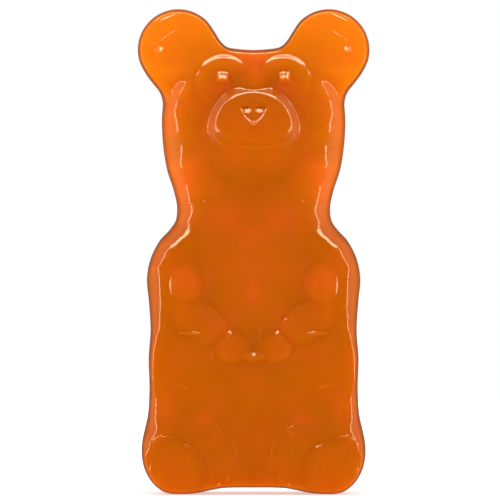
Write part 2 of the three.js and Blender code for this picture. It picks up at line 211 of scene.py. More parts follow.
print("lobes in front:", ", ".join(FRONT_LOBES), "- and behind:", ", ".join(BACK_LOBES))

# %% [markdown]
# On the domes sit flatter plateaus: the upper arms, the forearms, the paws that meet in the middle, the
# insteps, the round pads of the feet, the brows, and the bridge of the nose with a low frown above it. A
# plateau's height is (1 - r^n)^2: level in the middle, and steepest close to its edge. Its height is
# chosen so that the edge leans by just about 45 degrees, because a slope of 45 degrees mirrors what
# stands beside or above the bear, and so a light there draws a short stroke along that edge and nowhere
# else.

# %% Plateaus: added height, with an even middle and a steep edge
def plateau(x, z, half_width, half_height, height, tilt=0.0, plan=2.0, edge=4.0):
    """The numbers of one plateau: `plan` squares its outline, `edge` narrows its slope."""
    return dict(x=x, z=z, half_width=half_width, half_height=half_height, height=height,
                tilt=math.radians(tilt), power=plan, edge=edge)


ARM_PLATEAUS = {
    "upper arm": plateau(33.7, 104, 10, 13.5, height=2.75),
    "forearm": plateau(27, 85.5, 18, 11.4, height=2.7, tilt=32),
    "paw": plateau(11, 73, 10.5, 9.6, height=2.6),
}
ARM_FILLET = 0.8
FOOT_PLATEAUS = {
    "instep": plateau(31.5, 12, 25.5, 18.5, height=0.8, plan=3.3, edge=8),
    "foot pad": plateau(38.3, 11.5, 15.2, 16.5, height=3.6),
}
BROW = plateau(15.0, 203.6, 15.4, 15.4, height=2.4, edge=11)
BRIDGE = plateau(0, 201, 15, 15, height=6.0, edge=2)
FROWN = plateau(0, 208, 5.5, 9, height=0.7, edge=2)
BROW_FADE = (187, 205)  # a brow is full above the second height and runs out into the cheek at the first
BROW_FILLET = 1.5
BROW_AND_BRIDGE_FROM = (190, 193)


def plateau_height(form, x, z):
    """Height times (1 - r^n)^2, and nothing beyond the edge."""
    return form["height"] * np.clip(1 - lobe_radius(form, x, z) ** form["edge"], 0, 1) ** 2


print("plateaus:", ", ".join([*ARM_PLATEAUS, *FOOT_PLATEAUS, "brow", "bridge", "frown"]))

# %% [markdown]
# ## The face
# The muzzle is a low dome with a steep foot, the nose a shallow heart sunk into it, and each eye a bead
# under a lid. They could be small meshes of their own, joined on afterwards, but gel that was poured in
# one go has no joints. As heights over the same front view they grow out of the head with soft fillets.

# %% The muzzle: a gently domed oval on a steep skirt
MUZZLE = dict(z=184, edge_depth=42.5, lean=0.25, crown=4.0, side_fall=4.3, half_width=19, half_up=15.5,
              half_down=12.5, core=0.3, face_within=0.6)
MUZZLE_SLOPES = [(-1, 1.0), (-0.3, 1.2), (1, 1.22)]  # at the sine of the direction: straight down is -1
EDGE_FILLET, CREASE_FILLET, SOFT_FILLET = 0.3, 0.8, 5.0  # the last is added where the muzzle runs out
SOFT_BELOW = 10  # the edge is fully soft this far below the middle
SOFT_CREASE = dict(aside=(14, 26), share_aside=0.5, down=(180, 172))


def muzzle_depth(x, z):
    """Inside the oval a paraboloid on a leaning plane, outside it a cone; whichever lies deeper."""
    up = z - MUZZLE["z"]
    half_height = np.where(up > 0, MUZZLE["half_up"], MUZZLE["half_down"])
    r = np.hypot(x / MUZZLE["half_width"], up / half_height)
    away = np.maximum(r, MUZZLE["core"])
    slope = between(MUZZLE_SLOPES, up / np.hypot(np.hypot(x, up), 0.1))
    aside = (x / MUZZLE["half_width"]) ** 2
    edge = MUZZLE["edge_depth"] - MUZZLE["lean"] * up / away - MUZZLE["side_fall"] * aside / away**2
    face = (MUZZLE["edge_depth"] - MUZZLE["lean"] * up - MUZZLE["side_fall"] * aside
            + MUZZLE["crown"] * (1 - r**2))
    skirt = edge - slope * (away - 1) * np.hypot(x, up) / away
    fillet = EDGE_FILLET + SOFT_FILLET * eased(-up, 0, SOFT_BELOW)
    return np.where(r < MUZZLE["face_within"], face, -blend_max(-face, -skirt, fillet))


def muzzle_crease(x, z):
    """The fillet between muzzle and head: tight over the top, wide beside and below."""
    aside = SOFT_CREASE["share_aside"] * eased(x, *SOFT_CREASE["aside"])
    return CREASE_FILLET + SOFT_FILLET * np.maximum(aside, eased(z, *SOFT_CREASE["down"]))


print(f"the muzzle's middle stands {float(muzzle_depth(0.0, MUZZLE['z'])):.1f} mm before the parting line")

# %% Beads and dimples, whose one flank is a small cone that catches the light
FACET_TIP = 0.1  # rounds the tip


def facet(x, z, radius, height, side, short=0.5):
    """The numbers of a cone, or of a pit where the height is negative.

    One flank, above (side 1) or below (side -1) the middle, reaches out by `radius`. The other is only
    `short` wide, so it stays a dark line.
    """
    return dict(x=x, z=z, radius=radius, height=height, side=side, short=short)


NOSTRIL = facet(3.3, 192.0, 3.0, -1.65, side=-1)
NOSE_TIP = facet(0, 183.1, 2.5, 1.8, side=1)
EAR_MARK = facet(46.4, 219.8, 2.8, 1.06, side=1)


def facet_height(form, x, z):
    """Height times (1 - r), where r is 1 on the facet's lopsided rim."""
    up = z - form["z"]
    reach = np.where(up * form["side"] > 0, form["radius"], form["short"])
    r = np.hypot((x - form["x"]) / form["radius"], up / reach)
    return form["height"] * np.clip(1 - np.hypot(r, FACET_TIP), 0, 1)


for name, form in (("a nostril", NOSTRIL), ("the tip of the nose", NOSE_TIP), ("an ear's mark", EAR_MARK)):
    print(f"{name} changes the depth by {float(facet_height(form, form['x'], form['z'])):.1f} mm")

# %% The eyes, beads with a lid
EYE = dict(x=15.4, half_width=3.5, even_share=0.55, sag=0.05)
EYE_PROFILE = [(204.2, 0), (206.3, 3.1), (208.3, 1.18), (208.8, 1.14), (210.1, 0)]  # height over the brow


def eye_height(x, z):
    """Two facets face upwards, and between them runs the edge of the lid; both sag towards the sides."""
    heights, values = np.array(EYE_PROFILE).T
    aside = np.abs(x - EYE["x"])
    across = 1 - eased(aside, EYE["even_share"] * EYE["half_width"], EYE["half_width"])
    return across * np.interp(z + EYE["sag"] * aside**2, heights, values)


print(f"an eye is {2 * EYE['half_width']:.0f} by {EYE_PROFILE[-1][0] - EYE_PROFILE[0][0]:.1f} mm")

# %% The nose, a heart sunk into the muzzle
NOSE = dict(top_z=184.9, top_radius=10.9, side_x=-5.7, side_z=195.6, side_radius=13.4, sunk=0.76, wall=1.0)


def nose_height(x, z):
    """Three arcs bound the heart, and along them a short wall leads down to its level floor."""
    side = np.hypot(x - NOSE["side_x"], z - NOSE["side_z"]) - NOSE["side_radius"]
    top = np.hypot(x, z - NOSE["top_z"]) - NOSE["top_radius"]
    return -NOSE["sunk"] * np.clip(-np.maximum(side, top) / NOSE["wall"], 0, 1)


print("the nose is sunk by", NOSE["sunk"], "mm")

# %% [markdown]
# Gel creeps into every scratch of its mould, so a casting carries fine raised welts, and bubbles and folds
# stay behind as it sets. They could be left to a bump texture, but then the mesh would lose them, so they
# are part of the relief: each is a short path with a low roof along it. One flank of the roof looks up
# or aside and catches the light.

# %% Welts: a path, the half-width of its roof, and its height
WELTS = {
    "ear fold": ([(39.4, 229.9), (45.7, 225.5)], 0.9, 0.3),
    "ear bubble": ([(49.4, 223.7), (52.0, 223.3)], 0.9, 0.25),
    "ear rim": ([(39.7, 238.4), (46.0, 235.5)], 0.6, 0.2),
    "inner elbow": ([(18.8, 90.7), (22.3, 93.1)], 1.0, 0.47),
    "wrist": ([(13.8, 84.8), (16.3, 86.6)], 1.1, 0.55),
    "knuckle": ([(12.8, 80.0), (12.5, 78.8)], 1.6, 0.83),
    "paw gap": ([(3.8, 82.0), (1.6, 70.0)], 0.8, 0.45),
    "paws": ([(3.0, 68.2), (0, 67.6)], 2.4, 1.78),
    "paw side": ([(21.3, 71.8), (20.0, 67.2)], 0.8, 0.72),
    "under the elbow": ([(26.8, 79.8), (36.0, 79.8)], 1.0, 0.86),
    "thigh fold": ([(33.5, 53.0), (37.5, 54.6)], 1.0, 0.85),
    "heel fold": ([(19.3, 33.6), (16.8, 31.8), (19.4, 29.3)], 0.9, 0.74),
    "arm inside": ([(24.6, 108), (25.3, 104)], 0.9, 0.36),
    "arm inside, below": ([(25.3, 104), (27.0, 101)], 0.8, 0.15),
    "instep": ([(41.5, 28.4), (46.8, 28.6)], 0.8, 0.49),
    "instep, outside": ([(46.8, 28.6), (50.5, 25.8)], 0.8, 0.17),
    "pad": ([(33.8, 24.2), (30.4, 22.6), (27.6, 19.5)], 0.9, 0.31),
    "pad side": ([(50.2, 17.8), (51.4, 10.3)], 0.7, 0.18),
    "inner foot": ([(10.2, 25.3), (8.7, 22.0), (8.6, 19.5)], 0.8, 0.56),
    "sole dent": ([(12.3, 9.0), (13.1, 6.6)], 1.2, 0.89),
    "sole nick": ([(17.2, 5.0), (18.0, 4.0)], 1.0, 1.18),
    "throat fold": ([(19.7, 145.3), (24.0, 145.3)], 0.8, 0.6),
    "lip": ([(20, 178), (17, 175), (13, 173.4), (8, 172.4), (0, 171.8)], 0.8, 0.45),
}
WELT_RIDGE = 0.2  # how much of a roof's half-width its ridge is rounded over


def path_distance(path, x, z):
    """The distance to a broken line: the least of the distances to its pieces."""
    least = np.full(x.shape, np.inf)
    for (ax, az), (bx, bz) in zip(path[:-1], path[1:]):
        t = np.clip(((x - ax) * (bx - ax) + (z - az) * (bz - az)) / ((bx - ax) ** 2 + (bz - az) ** 2), 0, 1)
        least = np.minimum(least, np.hypot(x - ax - t * (bx - ax), z - az - t * (bz - az)))
    return least


def welt_height(x, z):
    """The sum of all roofs: even flanks and a slightly rounded ridge."""
    total = 0
    for path, width, high in WELTS.values():
        away = np.hypot(path_distance(path, x, z) / width, WELT_RIDGE)
        total = total + high * np.clip(1 + WELT_RIDGE - away, 0, 1)
    return total


print(len(WELTS), "welts on either side, up to", max(high for _, _, high in WELTS.values()), "mm high")

# %% [markdown]
# ## The whole depth
# Now the forms come together over one front view. A fillet joins any two that meet, because set gel has
# no sharp inner corner. The ears are thin lenses: behind the brows the head slopes down to them, with a
# step along the skull at their roots, and there the gel is thin enough to look yellow.

# %% How far in from the outline each point lies
JOIN = (180, 196)  # between these heights the trunk's outline gives way to the skull's


def distance_to(line, x, z, chunk=6000):
    """The distance from each (x, z) to a polyline: to the nearer of the two pieces at the nearest point."""
    q = np.column_stack([x.ravel(), z.ravel()])
    least = np.empty(len(q))
    for start in range(0, len(q), chunk):
        part = q[start:start + chunk]
        apart = (part[:, :1] - line[:, 0]) ** 2 + (part[:, 1:] - line[:, 1]) ** 2
        k = np.clip(apart.argmin(axis=1), 1, len(line) - 2)
        found = []
        for a, b in ((line[k - 1], line[k]), (line[k], line[k + 1])):
            t = np.clip(((part - a) * (b - a)).sum(1) / ((b - a) ** 2).sum(1), 0, 1)[:, None]
            found.append(np.linalg.norm(part - a - t * (b - a), axis=1))
        least[start:start + chunk] = np.minimum(*found)
    return least.reshape(x.shape)


def inside_skull(x, z):
    """True below the skull's super-ellipse, where the trunk and the head are."""
    up = np.clip(z - SKULL["z"], 0, None) / SKULL["half_height"]
    return (x / SKULL["half_width"]) ** SKULL["power"] + up ** SKULL["power"] < 1


def rim_distances(x, z):
    """In from the outline, in from the trunk's own outline, and into the skull (below 0 on an ear)."""
    inward, skull_gap = distance_to(outline, x, z), distance_to(trunk_outline, x, z)
    on_trunk = (z < CHEEK_TO_EAR[0][1]) | inside_skull(x, z)
    join = eased(z, *JOIN)
    trunk_inward = np.where(on_trunk, inward * (1 - join) + skull_gap * join, 0)
    return inward, trunk_inward, np.where(on_trunk, skull_gap, -skull_gap)


# %% Head and ears
EAR_LENS = dict(edge=2.2, reach=20.0, corner=0.8, blend=4.0, from_z=180, over=15)
EAR_SLOPE = dict(start=3.0, softness=6.0, slope=0.68, z=(193, 204))  # from the brows down to the ears
EAR_STEP = dict(height=6.5, over=(-5, 2), z=(200, 213))  # along the skull; it fades out upwards
CROWN_CORNER = dict(size=0.18, loss=0.7, x=(8, 18))  # rounder in the middle than beside it
SLIGHT = 0.01  # keeps a fillet from having no width


def trunk_depth(x, z, bare, lobes):
    """The bare trunk, and one lobe after another blended into it."""
    depth = between(bare, z)
    for form in lobes.values():
        depth = blend_max(depth, dome_depth(form, x, z), form["blend"])
    return depth


def open_brow(closed, depth, x, z, inward, into_skull):
    """In front the head slopes and steps down to the ear, and has no rim but the ear's and the crown's."""
    outside = EAR_SLOPE["start"] - into_skull
    fall = EAR_SLOPE["slope"] * (outside + np.hypot(outside, EAR_SLOPE["softness"])) / 2
    fall = fall + EAR_STEP["height"] * eased(outside, *EAR_STEP["over"]) * (1 - eased(z, *EAR_STEP["z"]))
    sloping = np.maximum(depth - fall, 0)
    at_crown = CROWN_CORNER["size"] * (1 - CROWN_CORNER["loss"] * eased(x, *CROWN_CORNER["x"]))
    rim = EAR_LENS["corner"] + at_crown * np.clip(sloping - EAR["front"], 0, None)
    return closed + (cornered(sloping, inward, rim) - closed) * eased(z, *EAR_SLOPE["z"])


def with_ear(head, z, inward, middle):
    """An ear is a lens whose depth grows inwards as 1 - (1 - t)^2, and a fillet joins it to the head."""
    lens = 1 - np.clip(1 - inward / EAR_LENS["reach"], 0, 1) ** 2
    lens = EAR_LENS["edge"] + (middle - EAR_LENS["edge"]) * lens
    high_up = np.clip((z - EAR_LENS["from_z"]) / EAR_LENS["over"], 0, 1)
    plate = cornered(lens, inward, EAR_LENS["corner"]) * high_up
    return blend_max(head, plate, EAR_LENS["blend"] * high_up + SLIGHT)


# %% The depth of either mould half over the whole front view
def add_limbs_and_face(front, x, z):
    """Arms, feet, brows and bridge are added, the muzzle is blended in, and the fine forms come on top."""
    arm = 0
    for form in ARM_PLATEAUS.values():
        arm = blend_max(arm, plateau_height(form, x, z), ARM_FILLET)
    front = front + arm + sum(plateau_height(form, x, z) for form in FOOT_PLATEAUS.values())
    brow = plateau_height(BROW, x, z) * eased(z, *BROW_FADE)
    bridge = plateau_height(BRIDGE, x, z) + plateau_height(FROWN, x, z)
    front = front + blend_max(brow, bridge, BROW_FILLET) * eased(z, *BROW_AND_BRIDGE_FROM)
    front = blend_max(front, muzzle_depth(x, z), muzzle_crease(x, z))
    front = front + nose_height(x, z) + eye_height(x, z) + welt_height(x, z)
    return front + sum(facet_height(form, x, z) for form in (NOSTRIL, NOSE_TIP, EAR_MARK))


def mould_depths(x, z):
    """Front depth, back depth and the distance in from the outline at (x, z), on the side x >= 0."""
    inward, trunk_inward, into_skull = rim_distances(x, z)
    front = trunk_depth(x, z, FRONT_DEPTH, FRONT_LOBES)
    closed = cornered(front, inward, between(FRONT_CORNER, z))
    front = with_ear(open_brow(closed, front, x, z, inward, into_skull), z, inward, EAR["front"])
    back = cornered(trunk_depth(x, z, BACK_DEPTH, BACK_LOBES), trunk_inward, between(BACK_CORNER, z))
    return add_limbs_and_face(front, x, z), with_ear(back, z, inward, EAR["back"]), inward


front, back, _ = mould_depths(np.array([EAR["x"], 0.0, 0.0]), np.array([EAR["z"], NECK_Z, WAIST_Z]))
print("ear, neck and waist are", (front + back).round(1).tolist(), "mm deep in all")

# %% [markdown]
# ## The skin
# The skin is a surface of two parameters. The first runs along the outline from the crown to the arch
# between the feet. The second runs along a rib: from a spine on the middle line out to the outline and
# back again on the other side. A plain grid over the front view would tear at the outline, where the
# surface turns through a right angle; ribs meet it squarely and crowd together there. Only the left half
# is worked out, and the right half is its mirror image.

# %% The ribs from the spine to the outline
RIB_DENSITY = [(0, 1.0), (30, 1.1), (44, 0.8), (62, 1.6), (95, 1.6), (110, 0.9), (140, 0.7), (180, 1.0)]
RIBS = 380
SPINE = dict(low=14, knee=32, cheek=180, high=198)
ANKLE_Z, EAR_JOINT_Z = 18, 198
RIM_CROWDING = 0.22  # the share of a rib's steps that climb the wall at its rim
SHARE_SAMPLES = 4001


def spine_heights(line):
    """Where each rib starts on the middle line: three straight runs, so that no two ribs cross."""
    ankle = int(np.argmax((line[:, 0] > FOOT_CORNER[1][0]) & (line[:, 1] > ANKLE_Z)))
    joint = int(np.argmax(line[:, 1] > EAR_JOINT_Z))
    i = np.arange(len(line))
    up = (line[:, 1] - line[ankle, 1]) / (line[joint, 1] - line[ankle, 1])
    return np.select(
        [i < ankle, i < joint],
        [SPINE["low"] + (SPINE["knee"] - SPINE["low"]) * i / ankle,
         SPINE["knee"] + (SPINE["cheek"] - SPINE["knee"]) * up],
        SPINE["cheek"] + (SPINE["high"] - SPINE["cheek"]) * (i - joint) / (len(line) - 1 - joint))


def rib_ends():
    """The rim and spine end of each rib; the ribs stand closer where the relief has finer detail."""
    run = np.append(0, np.cumsum(between(RIB_DENSITY, outline[1:, 1])))
    at = np.interp(np.linspace(run[-1], 0, RIBS + 1), run, np.arange(len(run)))
    i = np.clip(at.astype(int), 0, len(outline) - 2)
    part = (at - i)[:, None]
    rim = outline[i] * (1 - part) + outline[i + 1] * part
    spine = spine_heights(outline)
    return rim, spine[i] * (1 - part[:, 0]) + spine[i + 1] * part[:, 0]


def rib_shares(steps):
    """How far in from the rim each step lies: the running sum of u^3 / (u^3 + c^3), scaled to end at 1.

    Near the rim that grows as the fourth power, which is how the wall's foot grows, so the steps climb
    the wall evenly; further in they are even over the front.
    """
    u = np.linspace(0, 1, SHARE_SAMPLES)
    run = np.cumsum(u**3 / (u**3 + RIM_CROWDING**3))
    return np.interp(np.linspace(0, 1, steps + 1), u, (run - run[0]) / (run[-1] - run[0]))


# %% [markdown]
# A casting is never as regular as its formulas. The gel shrinks a little as it sets, and the mould is
# hand-finished, so its surface waves by a few tenths of a millimetre. The waves are too low to see as
# form, but they bend every reflection, which is why the white lines on the bear are broken and uneven.

# %% Depths with a slight wobble, and the slope of the front
WAVES = [  # length of a wave in mm, its direction in degrees, its phase and its height in mm
    (23, 15, 0.4, 0.16), (17, 80, 2.1, 0.12), (12, 140, 4.0, 0.07), (9, 50, 1.3, 0.045),
    (7, 110, 5.2, 0.03)]
FULL_WAVES = dict(thickness=20, from_middle=6)  # the waves are lower over thinner gel and nearer the middle
LOWER_WAVES = dict(head=0.6, head_z=(196, 208), front=0.65, from_rim=(8, 16))
QUIET = [(15.3, 208.4, 7), (0, 188, 13)]  # x, z and radius round the eyes and the nose
FRONT_STEPS, BACK_STEPS = 100, 28
SLOPE_STEP = 0.15  # a slope is the change of depth over this many millimetres
SLOPE_TRUST = (1.2, 2.4)  # nearer than this to the rim, the wall is too steep for such a slope to hold


def wobble(x, z):
    """A sum of sine waves over the front view, the same on both sides of the bear."""
    total = np.zeros_like(x)
    for length, direction, phase, height in WAVES:
        turn = math.radians(direction)
        along = np.abs(x) * math.cos(turn) + z * math.sin(turn)
        total += height * np.sin(2 * math.pi * along / length + phase)
    return total


def skin_depths(x, z):
    """The mould's depths plus the wobble.

    The wobble fades out over thin gel, on the middle line and round the eyes and the nose, so that their
    small beads stay crisp. It is weaker high on the head and on the level front.
    """
    front, back, inward = mould_depths(x, z)
    fullest = np.minimum((front + back) / FULL_WAVES["thickness"], x / FULL_WAVES["from_middle"])
    share = np.clip(fullest, 0, 1) * (1 - LOWER_WAVES["head"] * eased(z, *LOWER_WAVES["head_z"]))
    share = share * (1 - LOWER_WAVES["front"] * eased(inward, *LOWER_WAVES["from_rim"]))
    for quiet_x, quiet_z, radius in QUIET:
        share = share * eased(np.hypot(x - quiet_x, z - quiet_z), 0.5 * radius, radius)
    calm = share * wobble(x, z)
    return front + calm, back + calm, inward


def left_half():
    """Each point's x, y, z, the slopes of its depth, and how surely the slopes hold, rib by rib."""
    rim, start = rib_ends()
    sheets = []
    for steps, facing in ((FRONT_STEPS, 0), (BACK_STEPS, 1)):
        share = rib_shares(steps)
        x = rim[:, :1] * (1 - share)
        z = rim[:, 1:] + (start[:, None] - rim[:, 1:]) * share
        *depths, inward = skin_depths(x, z)
        depth = depths[facing].copy()
        across = (skin_depths(x + SLOPE_STEP, z)[facing] - depth) / SLOPE_STEP * (x > 0)
        up = (skin_depths(x, z + SLOPE_STEP)[facing] - depth) / SLOPE_STEP
        sure = eased(inward, *SLOPE_TRUST)
        depth[:, 0] = 0
        way = 1 if facing else -1
        sheets.append(np.stack([-x, PARTING_Y + way * depth, z, across, way + 0 * x, -up, sure], axis=-1))
    front, back = sheets
    return np.concatenate([front[:, ::-1], back[:, 1:]], axis=1)


half = left_half()
print("the left half has", half.shape[0], "ribs of", half.shape[1], "points")

# %% [markdown]
# The half and its mirror image become one closed mesh. A Mirror modifier would do that too, but it can't
# mirror the slopes that each point carries, and they are wanted for the shading. Along the crown a few
# steps of a rib fall on one another, and a face that loses a corner by that is made a triangle.

# %% Sew the two halves into one closed mesh
SOLE_Z = 0.0
MERGE_STEPS = 2000  # points within one of this many steps of a millimetre are the same


def sew(grid):
    """One mesh from the half and its mirror image; points on the middle line are shared."""
    ribs, steps, values = grid.shape
    mirror = np.array([-1, 1, 1, -1, 1, 1, 1])
    columns = np.vstack([grid.reshape(-1, values), grid.reshape(-1, values) * mirror])
    columns[:, 2] = np.maximum(columns[:, 2], SOLE_Z)
    index = np.arange(ribs * steps).reshape(ribs, steps)
    a, b, c, d = index[:-1, :-1], index[:-1, 1:], index[1:, 1:], index[1:, :-1]
    left = np.stack([a, b, c, d], axis=-1).reshape(-1, 4)
    faces = np.vstack([left, left[:, ::-1] + ribs * steps])
    keys = np.round(columns[:, :3] * MERGE_STEPS).astype(np.int64)
    _, first, inverse = np.unique(keys, axis=0, return_index=True, return_inverse=True)
    return columns[first], inverse.reshape(-1)[faces]


def drop_collapsed(quads):
    """Quads with four different corners, then triangles of those with two equal neighbours; no others."""
    again = quads == np.roll(quads, 1, axis=1)
    sound = (again.sum(1) == 0) & (quads[:, 0] != quads[:, 2]) & (quads[:, 1] != quads[:, 3])
    thin = again.sum(1) == 1
    triangles = quads[thin][~again[thin]].reshape(-1, 3)
    whole = (triangles != np.roll(triangles, 1, axis=1)).all(axis=1)
    return quads[sound].tolist() + triangles[whole].tolist()


points, quads = sew(half)
mesh = bpy.data.meshes.new("gel_bear")
mesh.from_pydata((points[:, :3] * MM).tolist(), [], drop_collapsed(quads))
mesh.polygons.foreach_set("use_smooth", np.ones(len(mesh.polygons), bool))
mesh.validate()
mesh.update()
triangles = sum(len(face.vertices) - 2 for face in mesh.polygons)
print("the bear's skin has", triangles, "triangles")

# %% [markdown]
# A mesh is shaded by normals that are averaged over its faces. On a skin as glossy as this, every small
# error in them bends a reflection, and more faces would cure that only slowly. The relief knows its own
# slopes, so the normals are set from them, wherever the slopes hold.

# %% Shade it by the exact slopes of the relief
averaged = np.empty(len(points) * 3, np.float32)
mesh.vertices.foreach_get("normal", averaged)
averaged = averaged.reshape(-1, 3)
exact = points[:, 3:6] / np.linalg.norm(points[:, 3:6], axis=1)[:, None]
normals = averaged + (exact - averaged) * points[:, 6:7]
normals /= np.linalg.norm(normals, axis=1)[:, None]
mesh.normals_split_custom_set_from_vertices(normals.tolist())
bear = bpy.data.objects.new("gel_bear", mesh)
bpy.context.scene.collection.objects.link(bear)
change = np.degrees(np.arccos(np.clip((normals * averaged).sum(1), -1, 1)))
print("largest change of a normal:", round(float(change.max()), 1), "degrees")

# %% [markdown]
# ## The gel
# Fruit gel is a stiff, clear jelly: light enters, loses its blue and some of its green within
# millimetres, and comes out elsewhere as orange. Where the bear is thin, as in the ears, less is lost,
# and the gel looks yellower. Glass with coloured absorption is the exact way, but it needs many light
# bounces; subsurface scattering with a long radius gives the same soft glow in a clean render. So each
# point of the skin stores how much gel the light meets near it, and the base colour is painted from that
# as painted light: yellower where the gel is thin, darker where it is thick. On the walls along the
# outline it is set as thick as the whole bear, which paints a darker edge, painted shade. A second number
# marks a few soft clouds on the shoulders, the throat, the muzzle's sides and under the eyes, which are
# painted lighter and pinker: painted reflection of the bright surroundings, and under the eyes painted
# light against the shade there.

# %% How much gel the light meets near each point
RIM_SHADE_THICKNESS = 0.052  # in metres, as the attribute is; on the walls it paints a darker edge, painted shade
RASTER_STEP = 2.0
RASTER_X, RASTER_Z = (-70, 71), (-10, 261)
LIGHT_SPREAD = 7.0  # how far the light wanders sideways, in millimetres like the raster


def soften(raster, radius):
    """A Gaussian blur: the same bell-shaped weights down the columns, then along the rows."""
    reach = int(3 * radius)
    bell = np.exp(-0.5 * (np.arange(-reach, reach + 1) / radius) ** 2)
    bell /= bell.sum()
    for _ in range(2):
        padded = np.pad(raster, ((reach, reach), (0, 0)))
        raster = sum(w * padded[k:k + raster.shape[0]] for k, w in enumerate(bell)).T
    return raster


def inside_outline(x, z, skip=8):
    """Even-odd rule: a point is inside if a line to its right crosses the outline an odd number of times.

    Every eighth point of the outline is close enough for that.
    """
    (x0, z0), (x1, z1) = outline[::skip][:-1].T, outline[::skip][1:].T
    crosses = (z0[:, None] > z.ravel()) != (z1[:, None] > z.ravel())
    at = x0[:, None] + (z.ravel() - z0[:, None]) * ((x1 - x0) / np.where(z1 == z0, 1, z1 - z0))[:, None]
    return ((crosses & (at > x.ravel())).sum(0) % 2 == 1).reshape(x.shape)


def near_thickness(x, z):
    """The thickness of the gel, averaged over the light's spread, read off a coarse raster of the front."""
    across, up = np.arange(*RASTER_X, RASTER_STEP), np.arange(*RASTER_Z, RASTER_STEP)
    gx, gz = np.meshgrid(np.abs(across), up, indexing="ij")
    front, back, _ = mould_depths(gx, gz)
    within = inside_outline(gx, gz)
    deep = soften(np.where(within, front + back, 0), LIGHT_SPREAD / RASTER_STEP)
    deep /= np.maximum(soften(within.astype(float), LIGHT_SPREAD / RASTER_STEP), 0.05)
    i, j = (x - across[0]) / RASTER_STEP, (z - up[0]) / RASTER_STEP
    i0, j0 = (np.clip(v.astype(int), 0, n - 2) for v, n in ((i, len(across)), (j, len(up))))
    u, v = i - i0, j - j0
    return ((deep[i0, j0] * (1 - u) + deep[i0 + 1, j0] * u) * (1 - v)
            + (deep[i0, j0 + 1] * (1 - u) + deep[i0 + 1, j0 + 1] * u) * v)


def store(name, values):
    """One number per point of the mesh, which the material reads by its name."""
    mesh.attributes.new(name, "FLOAT", "POINT").data.foreach_set("value", values.astype(np.float32))


near = near_thickness(points[:, 0], points[:, 2]) * MM
rim_shade = (1 - points[:, 6]) ** 2  # the walls are painted as thick as the whole bear behind them: painted shade along the outline
store("thickness", np.clip(near + (RIM_SHADE_THICKNESS - near) * rim_shade, 0, 1))
print(f"the light meets {near.min() * 1000:.0f} to {near.max() * 1000:.0f} mm of gel")

# %% Where patches are painted lighter and pinker: painted reflection, and painted light under the eyes
PAINTED_SHEEN_CLOUDS = [  # x, z, half-width, half-height and share
    (0, 101, 5, 7, 0.55), (33, 105, 8, 9, 0.4), (11, 138, 10, 7, 0.55), (0, 130, 9, 7, 0.5),
    (0, 217, 12, 5, 0.5), (34, 150, 7, 16, 0.5), (40, 192, 5, 12, 0.3), (23, 180, 5, 13, 0.35),
    (15, 83, 7, 8, 0.35), (44, 40, 6, 8, 0.2), (25, 37, 7, 2.5, 0.4), (0, 210, 5, 8, 0.4),
    # the last patch, just under the eyes, is painted light against the shade there
    (15, 202, 6, 4, 0.5)]


def painted_sheen_share(x, z):
    """Each cloud fades from its middle as exp(-r^2), and the largest share counts."""
    return np.max([share * np.exp(-((np.abs(x) - at_x) / wide) ** 2 - ((z - at_z) / tall) ** 2)
                   for at_x, at_z, wide, tall, share in PAINTED_SHEEN_CLOUDS], axis=0)


store("painted_sheen", painted_sheen_share(points[:, 0], points[:, 2]))
print(len(PAINTED_SHEEN_CLOUDS), "clouds lie in either half of the gel")

# %% [markdown]
# The material reads those two numbers. A colour ramp turns thickness into colour, and noise breaks up the
# clouds, stains the rest a little and varies the gloss, because even a smooth casting isn't wet all over
# in the same way. The skin on top stays nearly mirror-sharp.

# %% Colour the gel by how thick it is
CLEAR_COLOUR = np.array([1.20, 0.347, 0.0090])  # the light that a vanishing thickness would give back
LOSS = np.array([0.0125, 0.0178, 0.024])  # how fast each colour is lost, per millimetre
THICKEST = 0.058  # thicker gel looks the same, because what lies behind it no longer matters
RAMP_STOPS = 8
GEL_IOR = 1.45
GLOW_RADIUS, GLOW_SCALE = (1.0, 0.6, 0.3), 0.02  # how far red, green and blue wander, in units of 20 mm
SHEEN_AND_STAIN_GAIN = (0.30, -0.04, 3.2)  # what a full patch of painted sheen adds to the share of red, green and blue; the stain goes through it too
SHEEN_AND_STAIN_GRAIN, SHEEN_BREAK = 60, 1.2  # patches per metre, and how far they break a cloud up
STAIN = 1.0  # how far the same patches stain the gel elsewhere
GLOSS_GRAIN, GLOSS = 90, (0.08, 0.04)  # the roughness is the second, plus the first times the noise
NOISE_DETAIL = 3.0


def gel_colour(thickness):
    """Each colour falls off as exp(-loss * thickness), from the colour of a thin film."""
    return CLEAR_COLOUR * np.exp(-LOSS * thickness / MM)


def calculate(nodes, links, operation, *values, kind="Math"):
    """One step of arithmetic on sockets or numbers; of kind "VectorMath" it works on colours."""
    node = nodes.new("ShaderNode" + kind)
    node.operation = operation
    for slot, value in zip(node.inputs, values):
        if isinstance(value, bpy.types.NodeSocket):
            links.new(value, slot)
        else:
            slot.default_value = value
    return node.outputs[0]


def mirrored_noise(nodes, links, scale):
    """Noise in the object's own coordinates, the same at x and -x, in patches of about 1 / scale metres."""
    kinds = ("TexCoord", "SeparateXYZ", "CombineXYZ", "TexNoise")
    place, parts, joined, noise = (nodes.new("ShaderNode" + kind) for kind in kinds)
    links.new(place.outputs["Object"], parts.inputs[0])
    links.new(calculate(nodes, links, "ABSOLUTE", parts.outputs["X"]), joined.inputs["X"])
    links.new(parts.outputs["Y"], joined.inputs["Y"])
    links.new(parts.outputs["Z"], joined.inputs["Z"])
    noise.inputs["Scale"].default_value = scale
    noise.inputs["Detail"].default_value = NOISE_DETAIL
    links.new(joined.outputs[0], noise.inputs["Vector"])
    return noise.outputs["Fac"]


def stored(nodes, name):
    """The socket that reads one of the mesh's own numbers."""
    node = nodes.new("ShaderNodeAttribute")
    node.attribute_name = name
    return node.outputs["Fac"]


